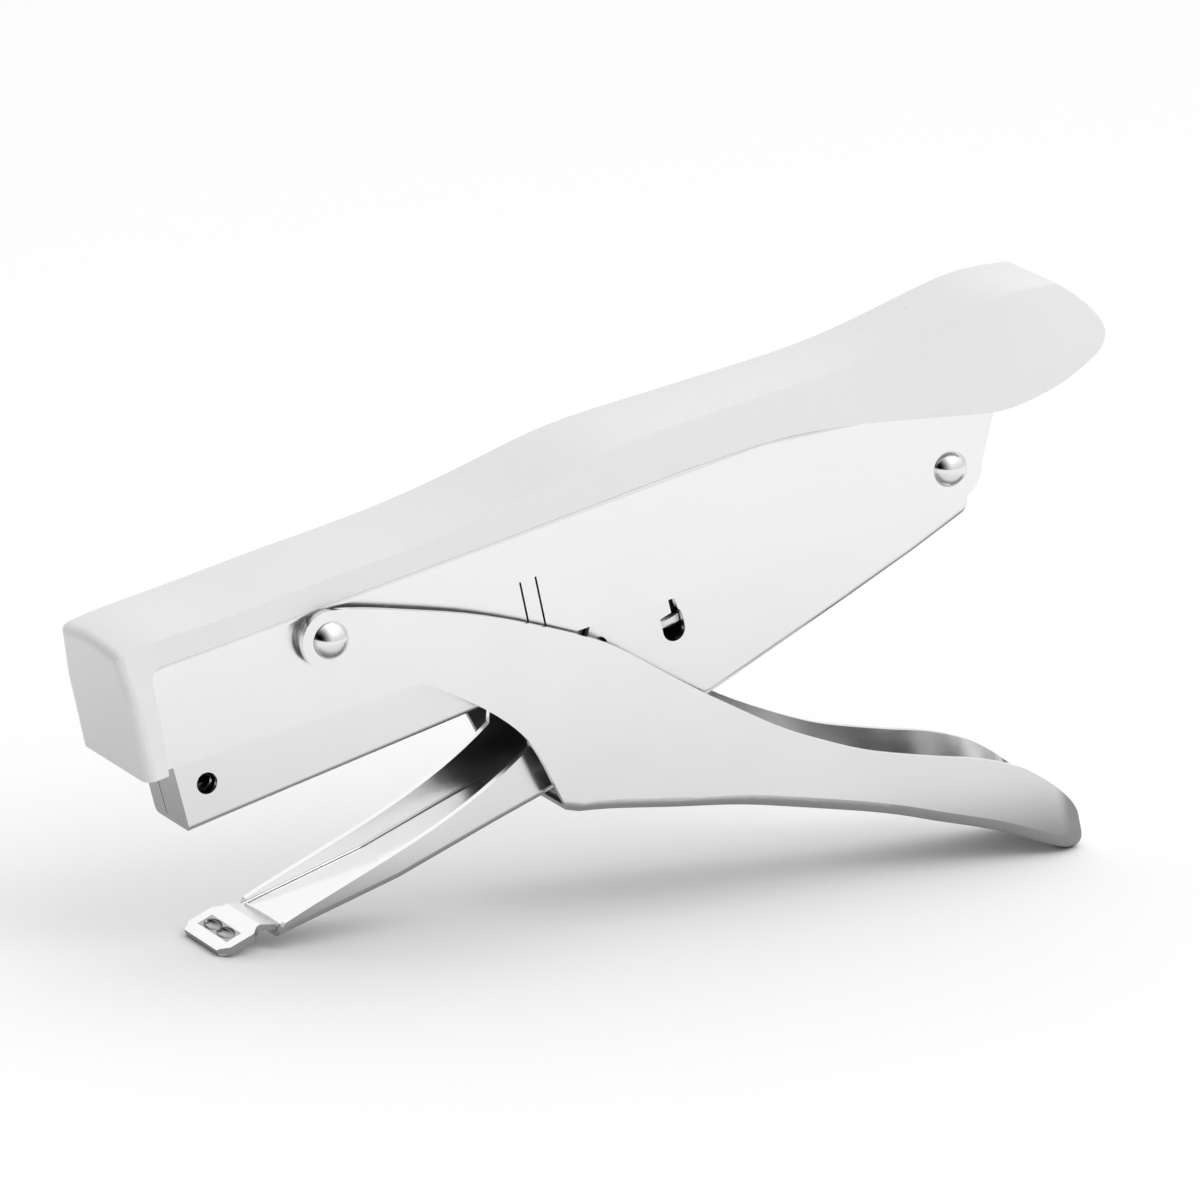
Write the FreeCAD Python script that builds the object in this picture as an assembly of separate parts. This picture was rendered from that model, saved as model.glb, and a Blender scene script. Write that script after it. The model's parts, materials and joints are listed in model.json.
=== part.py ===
"""Plier stapler for small office staples, as separate pieces.

Every piece is drawn in the body frame: u runs from the flat nose back to the palm rest, y runs
across, and w points up, with w = 0 on the cover's lower edge. The finished pieces are then tilted
so that the anvil tip and the handle's tail both stand on the ground. Lengths are in millimetres.
"""
import FreeCAD
import Part
import math
import os

# ---- driving dimensions -------------------------------------------------------------------------
FRAME_HALF = 9.6            # outer half width of the frame channel
FRAME_SHEET = 1.0
COVER_WALL = 1.1
ARM_HALF = 7.1              # outer half width of the anvil arm
ARM_SHEET = 1.0
ARM_ROUND = 1.1             # bend radius outside, where the arm's cheeks meet its floor
MAGAZINE_HALF = 5.8
MAGAZINE_SHEET = 0.8
LEVER_HALF_FRONT = 12.0     # the lever's ears straddle the frame
LEVER_HALF_TAIL = 8.6       # its handle is narrower
LEVER_SHEET = 1.1
RAIL_HALF = 3.9
RAIL_SHEET = 0.6

FRONT_PIVOT = (30.6, -4.4)  # lever on frame
REAR_PIVOT = (131.2, -14.3) # arm and magazine on frame
RIVET_RADIUS = 1.7
RIVET_FIT = 0.06            # radial running clearance on a rivet
RIVET_HEAD_RADIUS = 2.7
RIVET_HEAD_HEIGHT = 1.8
HEAD_PLAY = 0.1             # axial play under the front rivet's heads

COVER_FRONT = -0.7
COVER_END = 159.6
NOSE_BOTTOM = -15.4
NOSE_STRIP = 3.6            # how far the cover's nose wraps back along each side
ROOF_TOP = 1.2              # top of the frame channel
ROOF_BREAK = 103.0          # the roof slopes down behind this place
ROOF_TAIL = (138.0, -3.8)

MAGAZINE_FRONT = (6.0, -26.85)   # lower front corner of the magazine
MAGAZINE_SLOPE = 2.2             # degrees, nose down against the body frame
MAGAZINE_WALL = 12.8             # height of the magazine's sides
MAGAZINE_FLOOR_END = 96.0
RAIL_TOP = 6.2
ROD_HEIGHT = 3.2
ROD_RADIUS = 0.9
PUSHER_SPRING_WIRE = 0.5
PUSHER_SPRING_RADIUS = 1.6
PUSHER_SPRING_TURNS = 26
STOP_PIN = (62.8, -13.8)
STOP_PIN_RADIUS = 1.2
STOP_PIN_HALF = 8.3
TAB_HALF = 1.1              # the tab lanced from each side of the frame under the stop pin
TAB_CUT = 0.3
TAB_TOP = -7.2
TAB_FOOT = (7.35, 9.0)      # the tab's foot is folded inwards between these places across the width

ANVIL_TIP = (6.2, -46.45)        # lower front edge of the anvil plate
TAIL_ARC_CENTRE = (141.3, -77.2) # round heel under the handle's tail
TAIL_ARC_RADIUS = 2.4
LIP = (60.8, -42.3)              # front lip of the lever's web
TAPER_START = 80.0               # between these places the lever narrows to its handle
TAPER_END = 112.0
TAIL_CORNER = 6.4                # plan radius of the handle's two tail corners
WEB_ROUND = 1.8                  # bend radius between the cheeks and the web

NOSE_HOLE = (4.3, 6.0)           # hole across the magazine and its rail, from the magazine's corner
NOSE_HOLE_RADIUS = 1.6
DRIVER_RIVETS = (10.5, 15.0)     # places of the two rivets of the driver blade
DRIVER_RIVET_RADIUS = 1.1
LEAF_RIVET = 90.0
DRIVER_FRONT = 6.75
DRIVER_THICK = 0.5
DRIVER_HALF = 4.5
DRIVER_TIP = -19.8
ROOF_UNDER = ROOF_TOP - FRAME_SHEET
LEAF_THICK = 0.5
COVER_RIBS = (24.0, 58.0, 84.0)  # cross ribs inside the cover that sit on the roof
COVER_SEAT = 0.04                # gap between the cover and the frame it is pressed over

RAIL_START = 1.9                 # places along the magazine, from its front
RAIL_END = 92.0
ROD_END = 96.2
PUSHER_START = 6.4
PUSHER_LENGTH = 10.0

PLATE_SLOPE = 10.2               # degrees, anvil plate against the body frame
PLATE_THICK = 1.1
PLATE_LENGTH = 6.2
PLATE_HALF = 7.0
WINDOW_START = 2.0               # seat of the clinching insert, from the plate's front edge
WINDOW_LENGTH = 2.5
WINDOW_HALF = 4.9

SPRING_WIRE = 0.8                # return springs on the rear rivet
SPRING_COIL = 3.3
SPRING_PLANE = 7.85

# Underside of the arm and of the lever's web, front to rear, in the body frame.
ARM_UNDERSIDE = ((15.0, -46.4), (35.2, -44.6), (51.2, -41.9), (59.7, -40.6), (87.3, -35.3),
                 (113.0, -28.6), (124.3, -25.5), (132.4, -23.0))
LEVER_UNDERSIDE = ((62.6, -43.2), (67.5, -44.6), (75.7, -47.4), (86.9, -51.3), (95.6, -55.2),
                   (104.5, -59.4), (112.9, -63.4), (121.1, -67.8), (129.2, -72.2), (134.8, -75.9),
                   (138.0, -78.4))

# Stations along the cover: place, crease height, crown above the crease, half width at the crease,
# half width at the lower edge.
COVER_STATIONS = (
    (-2.0, 2.9, 0.9, 10.0, 11.4),
    (13.0, 3.6, 0.8, 9.8, 11.0),
    (30.0, 3.7, 0.8, 9.8, 10.7),
    (45.0, 3.6, 0.9, 9.8, 10.6),
    (56.0, 4.0, 1.0, 9.8, 10.6),
    (66.0, 5.1, 1.1, 9.5, 10.6),
    (77.0, 6.5, 1.1, 8.9, 10.7),
    (90.0, 6.5, 1.0, 8.2, 10.9),
    (105.0, 5.9, 0.9, 7.7, 11.3),
    (122.0, 5.6, 0.9, 7.5, 11.7),
    (138.0, 7.0, 0.9, 7.7, 11.9),
    (148.0, 7.3, 0.8, 7.7, 11.8),
    (165.0, 6.6, 0.6, 7.4, 11.4),
)


# ---- small helpers ------------------------------------------------------------------------------
def at(u, w, y=0.0):
    return FreeCAD.Vector(u, y, w)


def outline(start, *steps):
    """A closed face in the side plane. A step is a point for a straight line, ("arc", middle, end)
    for an arc, or ("curve", point, ...) for a smooth curve through its points."""
    edges = []
    here = start
    for step in steps:
        if step[0] == "arc":
            middle, end = step[1], step[2]
            edges.append(Part.Arc(at(*here), at(*middle), at(*end)).toShape())
        elif step[0] == "curve":
            end = step[-1]
            curve = Part.BSplineCurve()
            curve.interpolate([at(*here)] + [at(*p) for p in step[1:]])
            edges.append(curve.toShape())
        else:
            end = step
            edges.append(Part.LineSegment(at(*here), at(*end)).toShape())
        here = end
    if math.dist(here, start) > 1e-6:
        edges.append(Part.LineSegment(at(*here), at(*start)).toShape())
    return Part.Face(Part.Wire(edges))


def across(face, low, high):
    """The side face made solid between two places across the width."""
    solid = face.extrude(FreeCAD.Vector(0, high - low, 0))
    solid.translate(FreeCAD.Vector(0, low, 0))
    return solid


def both_ways(face, half):
    return across(face, -half, half)


def rod_across(centre, radius, low, high):
    return Part.makeCylinder(radius, high - low, at(*centre, low), FreeCAD.Vector(0, 1, 0))


def disc_face(centre, radius):
    circle = Part.Circle(at(*centre), FreeCAD.Vector(0, 1, 0), radius)
    return Part.Face(Part.Wire(circle.toShape()))


def box(u0, u1, y0, y1, w0, w1):
    return Part.makeBox(u1 - u0, y1 - y0, w1 - w0, at(u0, w0, y0))


def mirrored(shape):
    return shape.mirror(FreeCAD.Vector(0, 0, 0), FreeCAD.Vector(0, 1, 0))


def pair(shape):
    """A piece and its mirror image on the other side, as two solids of one node."""
    return Part.makeCompound([shape, mirrored(shape)])


def long_edges(shape, test):
    return [edge for edge in shape.Edges if test(edge)]


def rounded(shape, radius, test):
    return shape.makeFillet(radius, long_edges(shape, test))


def ends_pass(edge, test):
    return all(test(v.Point) for v in edge.Vertexes)


def one_sided(edge):
    """Whether an edge runs along the part and not across it."""
    return abs(edge.Vertexes[0].Point.y - edge.Vertexes[-1].Point.y) < 0.01


def on_ray(centre, radius, degrees):
    angle = math.radians(degrees)
    return (centre[0] + radius * math.cos(angle), centre[1] + radius * math.sin(angle))


def in_magazine(shape):
    """Moves a shape drawn with a along u and b along w to its place in the body frame."""
    placed = shape.copy()
    placed.rotate(at(0, 0), FreeCAD.Vector(0, 1, 0), -MAGAZINE_SLOPE)
    placed.translate(at(*MAGAZINE_FRONT))
    return placed


def dome_head(centre, y, side):
    """A rivet head: a low dome standing on the plane y, towards side (+1 or -1)."""
    rise = RIVET_HEAD_HEIGHT
    ball = (RIVET_HEAD_RADIUS ** 2 + rise ** 2) / (2 * rise)
    sphere = Part.makeSphere(ball, at(*centre, y + side * (rise - ball)))
    low, high = sorted((y, y + side * (rise + 1)))
    return sphere.common(rod_across(centre, RIVET_HEAD_RADIUS + 1, low, high))


# ---- frame --------------------------------------------------------------------------------------
def frame_outline(grow):
    """Side outline of the frame channel, grown outwards a little at its roof and front."""
    rear = REAR_PIVOT
    foot = on_ray(rear, 5.2, -88)
    heel = on_ray(rear, 5.2, -45)
    back = on_ray(rear, 5.2, -8)
    return outline(
        (1.9 - grow, NOSE_BOTTOM + 0.4),
        (1.9 - grow, ROOF_TOP + grow),
        (ROOF_BREAK, ROOF_TOP + grow),
        (ROOF_TAIL[0], ROOF_TAIL[1] + grow),
        (139.8, -8.2),
        back,
        ("arc", heel, foot),
    )


def frame_block(grow):
    """The frame channel before it is hollowed, with bent upper corners."""
    block = both_ways(frame_outline(grow), FRAME_HALF + grow)
    return rounded(block, 2.0, lambda e: ends_pass(e, lambda p: p.z > ROOF_TAIL[1] - 0.01)
                   and one_sided(e) and abs(e.Vertexes[0].Point.y) > FRAME_HALF - 0.01)


def frame_channel():
    outer = frame_block(0)
    reach = 30.0
    hollow = both_ways(outline(
        (-5, -40), (-5, ROOF_TOP - FRAME_SHEET), (ROOF_BREAK, ROOF_TOP - FRAME_SHEET),
        (ROOF_TAIL[0] + reach, ROOF_TAIL[1] - FRAME_SHEET
         - reach * (ROOF_TOP - ROOF_TAIL[1]) / (ROOF_TAIL[0] - ROOF_BREAK)),
        (ROOF_TAIL[0] + reach, -40)), FRAME_HALF - FRAME_SHEET)
    hollow = rounded(hollow, 1.0, lambda e: one_sided(e) and ends_pass(e, lambda p: p.z > -12))
    shape = outer.cut(hollow)
    holes = [rod_across(pivot, RIVET_RADIUS, -20, 20) for pivot in (FRONT_PIVOT, REAR_PIVOT)]
    holes += [Part.makeCylinder(DRIVER_RIVET_RADIUS, 10, at(u, -5, 0)) for u in DRIVER_RIVETS]
    holes.append(Part.makeCylinder(DRIVER_RIVET_RADIUS, 10, at(LEAF_RIVET, -5, 0)))
    return shape.cut(Part.makeCompound(holes + tab_cuts())).fuse(tab_feet()).removeSplitter()


def tab_bottom():
    return STOP_PIN[1] - STOP_PIN_RADIUS - 0.04


def tab_cuts():
    """Thin cuts down both sides of the tab and under it, through both sides of the frame."""
    u = STOP_PIN[0]
    edge = TAB_HALF + TAB_CUT
    low = tab_bottom() - 1.1
    return [box(u - edge, u - TAB_HALF, -20, 20, low, TAB_TOP),
            box(u + TAB_HALF, u + edge, -20, 20, low, TAB_TOP),
            box(u - edge, u + edge, -20, 20, low, low + TAB_CUT)]


def tab_feet():
    """Shelves folded inwards from the tabs, on which the magazine's stop pin comes to rest."""
    u = STOP_PIN[0]
    inner, outer = TAB_FOOT
    foot = box(u - TAB_HALF, u + TAB_HALF, inner, outer, tab_bottom() - 0.8, tab_bottom())
    return [foot, mirrored(foot)]


# ---- cover --------------------------------------------------------------------------------------

def cover_section(station, inset):
    """A closed section of the cover across the width at one station, inset all round."""
    u, crease, crown, half_top, half_low = station
    low = -20.0
    edge = -4.0
    half_top -= inset
    half_low -= inset
    crease -= inset
    points = [at(u, low, -half_low), at(u, edge, -half_low), at(u, crease, -half_top)]
    top = Part.Arc(points[2], at(u, crease + crown), at(u, crease, half_top)).toShape()
    left = [Part.LineSegment(points[0], points[1]).toShape(),
            Part.LineSegment(points[1], points[2]).toShape()]
    right = [Part.LineSegment(at(u, crease, half_top), at(u, edge, half_low)).toShape(),
             Part.LineSegment(at(u, edge, half_low), at(u, low, half_low)).toShape()]
    base = Part.LineSegment(at(u, low, half_low), at(u, low, -half_low)).toShape()
    return Part.Wire(left + [top] + right + [base])


def cover_body(inset):
    return Part.makeLoft([cover_section(s, inset) for s in COVER_STATIONS], True, False)


def cover_hollow_side():
    """Side outline of the room inside the cover, open downwards."""
    t = COVER_WALL
    front = COVER_FRONT + t + 0.4
    end = COVER_END - t
    low = -30.0
    return outline(
        (front, low), (front, 20), (150.8, 20), (150.8, 9.0 - t),
        ("curve", (154.1 - t, 6.0 - t), (end - 0.8, 0.4), (end, -2.6), (end - 1.2, -4.4)),
        (end - 1.2, low))


def cover_side():
    """Side outline of the cover. Its lower edge leaves the frame's sides open from the nose back
    to the palm rest, which dips over the rear pivot and ends round."""
    end = COVER_END
    return outline(
        (COVER_FRONT, NOSE_BOTTOM), (COVER_FRONT, 20), (151.3, 20), (151.3, 8.8),
        ("curve", (154.6, 6.2), (157.3, 3.2), (end - 0.6, 0.4), (end - 0.2, -1.9), (end - 1.8, -4.0),
         (154.8, -5.5), (151.2, -6.7), (146.4, -7.5), (140.0, -7.6), (133.8, -6.2), (124.3, -3.7),
         (113.2, -1.4), (106.8, -0.5), (98.6, 0.0), (90.0, 0.2)),
        (5.9, 0.2), ("arc", (NOSE_STRIP + 0.6, -0.4), (NOSE_STRIP, -1.9)), (NOSE_STRIP - 0.8, NOSE_BOTTOM))


def top_cover():
    outer = cover_body(0).common(both_ways(cover_side(), 20))
    nose_edges = long_edges(outer, lambda e: ends_pass(e, lambda p: p.x < COVER_FRONT + 0.01))
    outer = outer.makeFillet(1.6, [e for e in nose_edges
                                   if not ends_pass(e, lambda p: p.z < NOSE_BOTTOM + 0.01)])
    inner = cover_body(COVER_WALL).common(both_ways(cover_hollow_side(), 20))
    shell = outer.cut(inner)
    ribs = [box(u - 0.6, u + 0.6, -6.0, 6.0, ROOF_TOP, 20.0) for u in COVER_RIBS]
    core = cover_body(COVER_WALL / 2)
    shell = shell.fuse([rib.common(core) for rib in ribs]).removeSplitter()
    return shell.cut(frame_block(COVER_SEAT))


# ---- fixed pieces on the frame ------------------------------------------------------------------
def driver_blade():
    """Blade that drives the staple: a hardened strip whose foot is riveted under the roof."""
    back = DRIVER_FRONT + DRIVER_THICK
    strip = both_ways(outline(
        (DRIVER_FRONT, DRIVER_TIP), (DRIVER_FRONT, ROOF_UNDER - 1.2),
        ("arc", (DRIVER_FRONT + 0.35, ROOF_UNDER - 0.35), (DRIVER_FRONT + 1.2, ROOF_UNDER)),
        (18.0, ROOF_UNDER), (18.0, ROOF_UNDER - DRIVER_THICK), (back + 0.8, ROOF_UNDER - DRIVER_THICK),
        ("arc", (back + 0.25, ROOF_UNDER - DRIVER_THICK - 0.2), (back, ROOF_UNDER - DRIVER_THICK - 0.8)),
        (back, DRIVER_TIP)), DRIVER_HALF)
    holes = [Part.makeCylinder(DRIVER_RIVET_RADIUS, 10, at(u, -5, 0)) for u in DRIVER_RIVETS]
    return strip.cut(Part.makeCompound(holes))


def roof_rivet(u, grip_low):
    """A small rivet through the roof, with a flat head above and one below the grip."""
    head = DRIVER_RIVET_RADIUS + 0.9
    shank = Part.makeCylinder(DRIVER_RIVET_RADIUS, ROOF_TOP - grip_low, at(u, grip_low))
    top = Part.makeCone(head, head - 0.4, 0.7, at(u, ROOF_TOP))
    bottom = Part.makeCone(head - 0.3, head, 0.6, at(u, grip_low - 0.6))
    return shank.fuse([top, bottom])


def driver_rivets():
    return Part.makeCompound([roof_rivet(u, ROOF_UNDER - DRIVER_THICK) for u in DRIVER_RIVETS])


def leaf_rivet():
    return roof_rivet(LEAF_RIVET, ROOF_UNDER - LEAF_THICK)


def magazine_spring():
    """Leaf spring under the roof that presses the magazine's stop pin down."""
    u, w = STOP_PIN
    top = w + STOP_PIN_RADIUS + 0.02
    t = LEAF_THICK
    strip = both_ways(outline(
        (94.0, ROOF_UNDER), (86.0, ROOF_UNDER),
        ("curve", (80.0, ROOF_UNDER - 2.4), (71.0, -7.4), (u + 2.0, top + t + 0.5), (u - 0.6, top + t),
         (u - 3.4, top + t + 1.6)),
        (u - 3.7, top + 1.2),
        ("curve", (u - 0.7, top + 0.03), (u + 2.2, top + 0.55), (71.3, -8.0), (80.3, ROOF_UNDER - 2.95),
         (86.1, ROOF_UNDER - t)),
        (94.0, ROOF_UNDER - t)), 3.0)
    hole = Part.makeCylinder(DRIVER_RIVET_RADIUS, 10, at(LEAF_RIVET, -5, 0))
    return strip.cut(hole)


def front_rivet():
    reach = LEVER_HALF_FRONT + HEAD_PLAY
    shank = rod_across(FRONT_PIVOT, RIVET_RADIUS, -reach, reach)
    return shank.fuse([dome_head(FRONT_PIVOT, reach, 1), dome_head(FRONT_PIVOT, -reach, -1)])


def rear_rivet():
    shank = rod_across(REAR_PIVOT, RIVET_RADIUS, -FRAME_HALF, FRAME_HALF)
    return shank.fuse([dome_head(REAR_PIVOT, FRAME_HALF, 1), dome_head(REAR_PIVOT, -FRAME_HALF, -1)])


def ring_across(centre, inner, outer, low, high):
    return rod_across(centre, outer, low, high).cut(rod_across(centre, inner, low - 1, high + 1))


def front_spacers():
    """Washers that hold the lever's ears clear of the frame and the cover."""
    ears = LEVER_HALF_FRONT - LEVER_SHEET
    return pair(ring_across(FRONT_PIVOT, RIVET_RADIUS, 3.6, FRAME_HALF, ears - HEAD_PLAY))


def rear_spacers():
    """Bushes on the rear rivet between the frame's sides and the arm, inside the spring coils."""
    return pair(ring_across(REAR_PIVOT, RIVET_RADIUS, 2.5, ARM_HALF + 0.15, FRAME_HALF - FRAME_SHEET))


def pivot_tube():
    """Tube on the rear rivet that keeps the magazine's two ears apart."""
    half = MAGAZINE_HALF - MAGAZINE_SHEET - 0.15
    return ring_across(REAR_PIVOT, RIVET_RADIUS, 2.5, -half, half)


# ---- magazine -----------------------------------------------------------------------------------
def local_in_magazine(point):
    """A place in the body frame, as a along the magazine and b above its underside."""
    slope = math.radians(MAGAZINE_SLOPE)
    du = point[0] - MAGAZINE_FRONT[0]
    dw = point[1] - MAGAZINE_FRONT[1]
    return (du * math.cos(slope) + dw * math.sin(slope), -du * math.sin(slope) + dw * math.cos(slope))


def magazine_channel():
    """Channel open at the top, with two folded flanges closing its front and ears at the rear."""
    hub = local_in_magazine(REAR_PIVOT)
    ear = 5.0
    side = outline(
        (0, 0), (0, MAGAZINE_WALL), (hub[0] - 12.0, MAGAZINE_WALL), on_ray(hub, ear, 95),
        ("arc", on_ray(hub, ear, 45), on_ray(hub, ear, 0)),
        ("arc", on_ray(hub, ear, -50), on_ray(hub, ear, -95)), (MAGAZINE_FLOOR_END + 6, 2.4),
        (MAGAZINE_FLOOR_END, 0))
    outer = both_ways(side, MAGAZINE_HALF)
    outer = rounded(outer, 1.0, lambda e: one_sided(e) and ends_pass(e, lambda p: p.z < 0.01))
    inner_half = MAGAZINE_HALF - MAGAZINE_SHEET
    throat = RAIL_START
    hollow = box(-1, 200, -inner_half, inner_half, MAGAZINE_SHEET, 40)
    shape = outer.cut(hollow)
    exit_slot = box(MAGAZINE_SHEET - 0.2, throat, -inner_half, inner_half, -1, 2)
    rear_gap = box(MAGAZINE_FLOOR_END, 200, -inner_half, inner_half, -1, 20)
    flange = box(0, MAGAZINE_SHEET - 0.2, -inner_half, 1.55, 0, MAGAZINE_WALL)
    far_flange = box(0, MAGAZINE_SHEET - 0.2, 1.75, inner_half, 0, MAGAZINE_WALL)
    shape = shape.fuse([flange, far_flange]).cut(Part.makeCompound([exit_slot, rear_gap]))
    pin_at = local_in_magazine(STOP_PIN)
    cuts = [
        rod_across(hub, RIVET_RADIUS + RIVET_FIT, -20, 20),
        rod_across(pin_at, STOP_PIN_RADIUS, -20, 20),
        rod_across(NOSE_HOLE, NOSE_HOLE_RADIUS, -20, 20),
        both_ways(outline((73.8, 20), (73.8, 3.4), ("arc", (78.3, 1.6), (82.8, 3.4)), (82.8, 20)), 20),
    ]
    return in_magazine(shape.cut(Part.makeCompound(cuts)))


def staple_rail():
    """Inverted channel on the magazine's floor, over which the staples straddle. A slot along its
    top lets the pusher's tongue reach the guide rod."""
    shape = box(RAIL_START, RAIL_END, -RAIL_HALF, RAIL_HALF, MAGAZINE_SHEET, RAIL_TOP)
    inner = RAIL_HALF - RAIL_SHEET
    hollow = box(RAIL_START + RAIL_SHEET, RAIL_END + 1, -inner, inner, 0, RAIL_TOP - RAIL_SHEET)
    slot = box(RAIL_START + 3.0, RAIL_END - 6.0, -1.1, 1.1, 0, RAIL_TOP + 1)
    rod_hole = Part.makeCylinder(ROD_RADIUS, 6, at(RAIL_START - 1, ROD_HEIGHT), FreeCAD.Vector(1, 0, 0))
    nose_hole = rod_across(NOSE_HOLE, NOSE_HOLE_RADIUS, -20, 20)
    return in_magazine(shape.cut(Part.makeCompound([hollow, slot, rod_hole])).cut(nose_hole))


def guide_rod():
    length = ROD_END - RAIL_START
    rod = Part.makeCylinder(ROD_RADIUS, length, at(RAIL_START, ROD_HEIGHT), FreeCAD.Vector(1, 0, 0))
    return in_magazine(rod)


def rod_anchor():
    """Block across the rear of the magazine that holds the guide rod and backs its spring."""
    half = MAGAZINE_HALF - MAGAZINE_SHEET
    block = box(RAIL_END, RAIL_END + 2.6, -half, half, MAGAZINE_SHEET, 8.6)
    hole = Part.makeCylinder(ROD_RADIUS, 10, at(RAIL_END - 1, ROD_HEIGHT), FreeCAD.Vector(1, 0, 0))
    return in_magazine(block.cut(hole))


def pusher():
    """Saddle over the rail that pushes the staples forward, with a sleeve round the guide rod."""
    end = PUSHER_START + PUSHER_LENGTH
    saddle = box(PUSHER_START, end, -4.7, 4.7, MAGAZINE_SHEET + 0.35, RAIL_TOP + 0.9)
    hollow = box(PUSHER_START - 1, end + 1, -(RAIL_HALF + 0.25), RAIL_HALF + 0.25, 0, RAIL_TOP + 0.25)
    tongue = box(PUSHER_START + 3.2, end - 1.0, -0.8, 0.8, ROD_HEIGHT, RAIL_TOP + 0.5)
    sleeve = Part.makeCylinder(1.9, PUSHER_LENGTH - 4.2, at(PUSHER_START + 3.2, ROD_HEIGHT),
                               FreeCAD.Vector(1, 0, 0))
    bore = Part.makeCylinder(ROD_RADIUS + 0.08, 60, at(0, ROD_HEIGHT), FreeCAD.Vector(1, 0, 0))
    return in_magazine(saddle.cut(hollow).fuse([tongue, sleeve]).cut(bore).removeSplitter())


def pusher_spring():
    """Compression spring on the guide rod, between the pusher's sleeve and the rod anchor."""
    start = PUSHER_START + PUSHER_LENGTH - 1.0 + PUSHER_SPRING_WIRE / 2 + 0.03
    length = RAIL_END - PUSHER_SPRING_WIRE / 2 - 0.03 - start
    helix = Part.makeHelix(length / PUSHER_SPRING_TURNS, length, PUSHER_SPRING_RADIUS)
    centre = FreeCAD.Vector(PUSHER_SPRING_RADIUS, 0, 0)
    ring = Part.Wire(Part.makeCircle(PUSHER_SPRING_WIRE / 2, centre, FreeCAD.Vector(0, 1, 0)))
    coil = Part.Wire(helix).makePipeShell([ring], True, True)
    coil.rotate(at(0, 0), FreeCAD.Vector(0, 1, 0), 90)
    coil.translate(at(start, ROD_HEIGHT))
    return in_magazine(coil)


def stop_pin():
    return rod_across(STOP_PIN, STOP_PIN_RADIUS, -STOP_PIN_HALF, STOP_PIN_HALF)


# ---- anvil arm ----------------------------------------------------------------------------------
def raised(points, rise):
    return [(u, w + rise) for u, w in points]


def on_arm_underside(point):
    return any(math.dist((point.x, point.z), place) < 0.01 for place in ARM_UNDERSIDE)


def anvil_arm():
    hub = REAR_PIVOT
    ear = 5.0
    wall_top = [(58.9, -32.6), ("curve", (53.4, -35.3), (45.0, -38.3), (32.5, -41.3), (16.4, -44.6))]
    outer_steps = list(ARM_UNDERSIDE[1:]) + [
        ("arc", (133.9, -21.4), (134.3, -19.6)), on_ray(hub, ear, -10),
        ("arc", on_ray(hub, ear, 45), on_ray(hub, ear, 95)), (88.0, -12.2), (78.0, -13.6),
        ("curve", (72.4, -17.4), (69.4, -22.6), (64.4, -26.8), (60.6, -29.2), wall_top[0]), wall_top[1]]
    outer = both_ways(outline(ARM_UNDERSIDE[0], *outer_steps), ARM_HALF)
    outer = rounded(outer, ARM_ROUND, lambda e: one_sided(e) and abs(e.Vertexes[0].Point.y) > ARM_HALF - 0.01
                    and ends_pass(e, on_arm_underside))
    floor = raised(ARM_UNDERSIDE, ARM_SHEET)
    hollow = both_ways(outline((0.0, floor[0][1]), *floor, (160.0, -12.0), (160.0, 20.0), (0.0, 20.0)),
                       ARM_HALF - ARM_SHEET)
    hollow = rounded(hollow, ARM_ROUND - 0.8, lambda e: one_sided(e)
                     and ends_pass(e, lambda p: 10 < p.x < 133 and p.z < -20))
    channel = outer.cut(hollow)
    tongue = anvil_tongue()
    cuts = [rod_across(hub, RIVET_RADIUS + RIVET_FIT, -20, 20),
            rod_across((72.6, -21.7), 1.3, -20, 20),
            both_ways(spring_slot(), 20), clinch_window()]
    return channel.fuse(tongue).cut(Part.makeCompound(cuts)).removeSplitter()


def spring_slot():
    """Keyhole in the arm's cheeks: a round window, and a narrow neck that catches the spring."""
    return outline((82.7, -21.3), (82.75, -23.4), ("arc", (84.5, -25.25), (86.3, -23.4)), (86.3, -21.9),
                   ("arc", (86.15, -21.2), (85.75, -20.6)), (85.3, -16.3),
                   ("arc", (84.9, -15.9), (84.45, -16.3)), (84.6, -20.9))


def plate_point(along, above):
    """A place on the anvil plate: along from its front edge, above from its underside."""
    slope = math.radians(PLATE_SLOPE)
    u = ANVIL_TIP[0] + along * math.cos(slope) - above * math.sin(slope)
    w = ANVIL_TIP[1] + along * math.sin(slope) + above * math.cos(slope)
    return (u, w)


def on_plate(shape):
    placed = shape.copy()
    placed.rotate(at(0, 0), FreeCAD.Vector(0, 1, 0), -PLATE_SLOPE)
    placed.translate(at(*ANVIL_TIP))
    return placed


def anvil_tongue():
    """Flat anvil plate with a necked waist, dropping a little to the arm's floor behind it."""
    strip = both_ways(outline(
        plate_point(0, 0), plate_point(PLATE_LENGTH + 1.4, 0), (16.6, -46.2), (22.0, -45.75), (22.0, -44.8),
        (16.4, -45.2), plate_point(PLATE_LENGTH + 1.2, PLATE_THICK), plate_point(0, PLATE_THICK)),
        ARM_HALF)
    corner = 1.4
    neck = 5.5
    start = ANVIL_TIP[0]
    waist = start + PLATE_LENGTH
    near = [(start - 1, -(PLATE_HALF - corner)), (start + 0.2, -(PLATE_HALF - corner)),
            (start + corner, -PLATE_HALF), (waist - 0.9, -PLATE_HALF), (waist + 0.3, -neck),
            (23.0, -neck)]
    far = [(u, -y) for u, y in reversed(near)]
    wire = Part.makePolygon([FreeCAD.Vector(u, y, -60) for u, y in near + far + [near[0]]])
    plan = Part.Face(wire).extrude(FreeCAD.Vector(0, 0, 30))
    return strip.common(plan)


def clinch_window():
    """Opening in the anvil plate that seats the clinching insert."""
    end = WINDOW_START + WINDOW_LENGTH
    return on_plate(box(WINDOW_START, end, -WINDOW_HALF, WINDOW_HALF, -1, PLATE_THICK + 1))


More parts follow.
